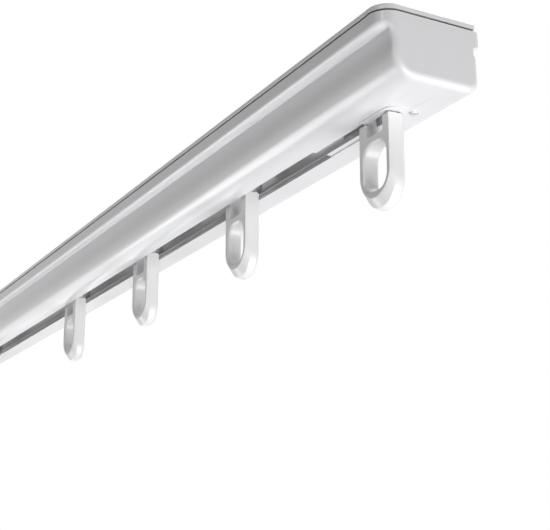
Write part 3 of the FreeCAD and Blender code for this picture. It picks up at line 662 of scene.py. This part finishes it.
def move_points(mesh, mover):
    """Move a mesh's points by a function of their depths and heights, in the section's mm."""
    flat = np.empty(len(mesh.vertices) * 3)
    mesh.vertices.foreach_get("co", flat)
    points = flat.reshape(-1, 3)
    depth, height = mover(points[:, 1] / MM + DEPTH_ORIGIN, points[:, 2] / MM + HEIGHT_ORIGIN)
    points[:, 1] = (depth - DEPTH_ORIGIN) * MM
    points[:, 2] = (height - HEIGHT_ORIGIN) * MM
    mesh.vertices.foreach_set("co", flat)
    mesh.update()


def finish_shading(piece, sharp, bevel=0.0):
    """Smooth faces, edges sharp over an angle in degrees, worn if asked, and weighted normals."""
    limit = math.radians(sharp)
    with editing(piece.data) as work:
        for face in work.faces:
            face.smooth = True
        for edge in work.edges:
            edge.smooth = not (len(edge.link_faces) == 2 and edge.calc_face_angle(0.0) > limit)
    if bevel > 0:
        worn = piece.modifiers.new("Worn edge", "BEVEL")
        worn.width = bevel
        worn.segments = WORN_STEPS
        worn.limit_method = "ANGLE"
        worn.angle_limit = limit
        worn.harden_normals = False
        worn.use_clamp_overlap = True
    led = piece.modifiers.new("Normals", "WEIGHTED_NORMAL")
    led.keep_sharp = True
    led.weight = NORMAL_WEIGHT


def body_of_node(node):
    """The name of the body that holds a CAD node."""
    for name, nodes in frame["record"]["behaviour"]["bodies"].items():
        if node in nodes:
            return name
    raise RuntimeError("no body holds " + node)


def stand_in(piece, node, material):
    """Let a piece stand for a CAD node: same body, its own finish, and the node hidden."""
    piece.data.materials.clear()
    piece.data.materials.append(material)
    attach(piece, body_of_node(node))
    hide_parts(node)


def refine(node, name, material, sharp=SHARP, bevel=0.0, mover=None):
    """A copy of a CAD node with points moved if asked, flat areas joined and edges finished."""
    mesh = frame["nodes"][node].data.copy()
    mesh.name = name
    if mover:
        move_points(mesh, mover)
    with editing(mesh) as work:
        bmesh.ops.remove_doubles(work, verts=work.verts, dist=SAME_CAD_POINT)
        bmesh.ops.dissolve_limit(work, angle_limit=FLAT, verts=work.verts, edges=work.edges)
    piece = new_object(name, mesh)
    finish_shading(piece, sharp, bevel)
    stand_in(piece, node, material)


# Operators

class CURTAINROD_OT_outer_rail(bpy.types.Operator):
    """Surface of the outer rail, its section carried along the rod"""
    bl_idname = "curtainrod.outer_rail"
    bl_label = "Outer rail"

    def execute(self, context):
        sizes = context.scene.rod_sizes
        colour = context.scene.rod_colours.paint
        start, end = sizes.rail_start / MM, sizes.rail_end / MM
        even = np.linspace(start + END_RUN, end - END_RUN, MIDDLE_STATIONS)
        stations = np.concatenate([[start, start + END_EDGE], even, [end - END_EDGE, end]])
        profile = outer_rail_profile(sizes.corner_blend / MM, sizes.arc_steps)
        piece = mesh_object("outer_rail_skin", *carry(profile, stations))
        finish_shading(piece, SHARP_CARRIED)
        # The paint carries painted shade along the front groove
        paint = finish_of("rail_powder_coat", powder_coat, colour, grooved=True)
        stand_in(piece, "outer_rail", paint)
        return {"FINISHED"}


class CURTAINROD_OT_inner_rail(bpy.types.Operator):
    """Surface of the sliding rail with its long stop slot"""
    bl_idname = "curtainrod.inner_rail"
    bl_label = "Inner rail"

    def execute(self, context):
        # A whiter copy of the powder coat: painted light in the shaded slot
        paint = finish_of("sliding_rail_coat_lightened", powder_coat, context.scene.rod_colours.inner_paint_lightened)
        refine("inner_rail", "inner_rail_skin", paint, SHARP_FINE, mover=fuller_toe)
        return {"FINISHED"}


class CURTAINROD_OT_end_caps(bpy.types.Operator):
    """Moulded caps at both ends of the rod"""
    bl_idname = "curtainrod.end_caps"
    bl_label = "End caps"

    def execute(self, context):
        colour = context.scene.rod_colours.moulding
        # The plastic carries painted shade along the front groove
        plastic = finish_of("cap_moulding", moulded_plastic, colour, CAP_ROUGHNESS, grooved=True)
        for side in SIDES:
            refine(side + "_end_cap", side + "_end_cap_moulding", plastic, mover=fuller_toe)
        return {"FINISHED"}


class CURTAINROD_OT_gliders(bpy.types.Operator):
    """The nine gliders with their axles and wheels"""
    bl_idname = "curtainrod.gliders"
    bl_label = "Gliders"

    def execute(self, context):
        colours = context.scene.rod_colours
        bevel = context.scene.rod_sizes.eye_bevel
        plastic = finish_of("glider_moulding", moulded_plastic, colours.glider, GLIDER_ROUGHNESS)
        nylon = finish_of("wheel_nylon", wheel_nylon, colours.nylon)
        steel = finish_of("zinc_plate", plated_steel, colours.plated)
        for i in GLIDERS:
            # The first glider stands in the cap, whose slot is closed above its shoulders
            mover = raised_shoulders if i > 1 else None
            body, moulding = "glider_%d_body" % i, "glider_%d_moulding" % i
            refine(body, moulding, plastic, SHARP_FINE, bevel, mover)
            refine("glider_%d_axle" % i, "glider_%d_pin" % i, steel)
            refine("glider_%d_wheels" % i, "glider_%d_rollers" % i, nylon)
        return {"FINISHED"}


class CURTAINROD_OT_brackets(bpy.types.Operator):
    """Both ceiling brackets with their latch levers, pins and springs"""
    bl_idname = "curtainrod.brackets"
    bl_label = "Brackets"

    def execute(self, context):
        colours = context.scene.rod_colours
        bevel = context.scene.rod_sizes.edge_bevel
        paint = finish_of("bracket_powder_coat", powder_coat, colours.paint)
        steel = finish_of("zinc_plate", plated_steel, colours.plated)
        strip = finish_of("spring_strip", spring_strip, colours.spring)
        for side in SIDES:
            refine(side + "_bracket", side + "_bracket_pressing", paint, bevel=bevel)
            refine(side + "_latch_lever", side + "_lever_pressing", paint, bevel=bevel)
            refine(side + "_latch_pin", side + "_pin_turned", steel, bevel=bevel)
            refine(side + "_latch_spring", side + "_spring_strip", strip)
        return {"FINISHED"}


class CURTAINROD_OT_fixings(bpy.types.Operator):
    """The stop rivet and the two cap screws"""
    bl_idname = "curtainrod.fixings"
    bl_label = "Fixings"

    def execute(self, context):
        steel = finish_of("zinc_plate", plated_steel, context.scene.rod_colours.plated)
        refine("stop_rivet", "stop_rivet_head", steel)
        for side in SIDES:
            refine(side + "_cap_screw", side + "_screw_head", steel)
        return {"FINISHED"}


class CURTAINROD_OT_stage(bpy.types.Operator):
    """Pale floor, soft lights, bright surroundings and the camera"""
    bl_idname = "curtainrod.stage"
    bl_label = "Stage"

    def execute(self, context):
        scene = context.scene
        stage = scene.rod_stage
        self.floor(stage.floor_reach / MM, HEIGHT_ORIGIN - stage.floor_drop / MM)
        for name, values in LAMPS.items():
            self.lamp(name, *values)
        scene.world = studio_white(bpy.data.worlds.new("studio"), stage.ambient)
        scene.camera = self.camera(stage)
        scene.view_settings.view_transform = "Standard"
        return {"FINISHED"}

    def floor(self, reach, height):
        """A flat square of even cells under the rod, in the section's millimetres."""
        lines = np.linspace(-reach, reach, FLOOR_CELLS + 1)
        vertices = place_mm(*np.meshgrid(lines, lines), height)
        floor = mesh_object("floor", vertices, grid_quads(FLOOR_CELLS + 1, FLOOR_CELLS + 1))
        floor.data.materials.append(finish_of("stage_white", stage_white))

    def lamp(self, name, heading, distance, width, height, power):
        """A soft rectangle of light, seen from the rod in one heading and turned towards it."""
        data = bpy.data.lights.new(name, "AREA")
        data.shape = "RECTANGLE"
        data.size = width
        data.size_y = height
        data.energy = power
        made = new_object(name, data)
        away = Vector(heading).normalized()
        made.location = Vector(LAMP_TARGET) + away * distance
        made.rotation_euler = (-away).to_track_quat("-Z", "Y").to_euler()
        made.visible_camera = False

    def camera(self, stage):
        """A camera that stands at the eye and looks along the heading, with its top upwards."""
        data = bpy.data.cameras.new("camera")
        data.sensor_width = 36.0
        data.lens = stage.lens
        data.clip_start = 0.01
        data.clip_end = 50.0
        made = new_object("camera", data)
        forward = Vector(stage.heading).normalized()
        right = forward.cross(Vector((0, 0, 1))).normalized()
        up = right.cross(forward)
        turn = Matrix((right, up, -forward)).transposed()
        made.matrix_world = Matrix.Translation(Vector(stage.eye)) @ turn.to_4x4()
        return made


OPERATORS = (
    CURTAINROD_OT_outer_rail,
    CURTAINROD_OT_inner_rail,
    CURTAINROD_OT_end_caps,
    CURTAINROD_OT_gliders,
    CURTAINROD_OT_brackets,
    CURTAINROD_OT_fixings,
    CURTAINROD_OT_stage,
)


class CURTAINROD_PT_panel(bpy.types.Panel):
    """Lists the sizes, colours and pieces of the rod"""
    bl_idname = "CURTAINROD_PT_panel"
    bl_label = "Curtain rod"
    bl_space_type = "VIEW_3D"
    bl_region_type = "UI"
    bl_category = "Curtain rod"

    def draw(self, context):
        layout = self.layout
        for group in (context.scene.rod_sizes, context.scene.rod_colours, context.scene.rod_stage):
            box = layout.box()
            for name in group.__annotations__:
                box.prop(group, name)
        for operator in OPERATORS:
            layout.operator(operator.bl_idname)


GROUPS = {"rod_sizes": RodSizes, "rod_colours": RodColours, "rod_stage": RodStage}


def register():
    for group in GROUPS.values():
        bpy.utils.register_class(group)
    for name, group in GROUPS.items():
        setattr(bpy.types.Scene, name, PointerProperty(type=group))
    for operator in OPERATORS:
        bpy.utils.register_class(operator)
    bpy.utils.register_class(CURTAINROD_PT_panel)


def unregister():
    bpy.utils.unregister_class(CURTAINROD_PT_panel)
    for operator in reversed(OPERATORS):
        bpy.utils.unregister_class(operator)
    for name in GROUPS:
        delattr(bpy.types.Scene, name)
    for group in reversed(list(GROUPS.values())):
        bpy.utils.unregister_class(group)


def main():
    register()
    bpy.ops.curtainrod.outer_rail()
    bpy.ops.curtainrod.inner_rail()
    bpy.ops.curtainrod.end_caps()
    bpy.ops.curtainrod.gliders()
    bpy.ops.curtainrod.brackets()
    bpy.ops.curtainrod.fixings()
    bpy.ops.curtainrod.stage()


if __name__ == "__main__":
    main()
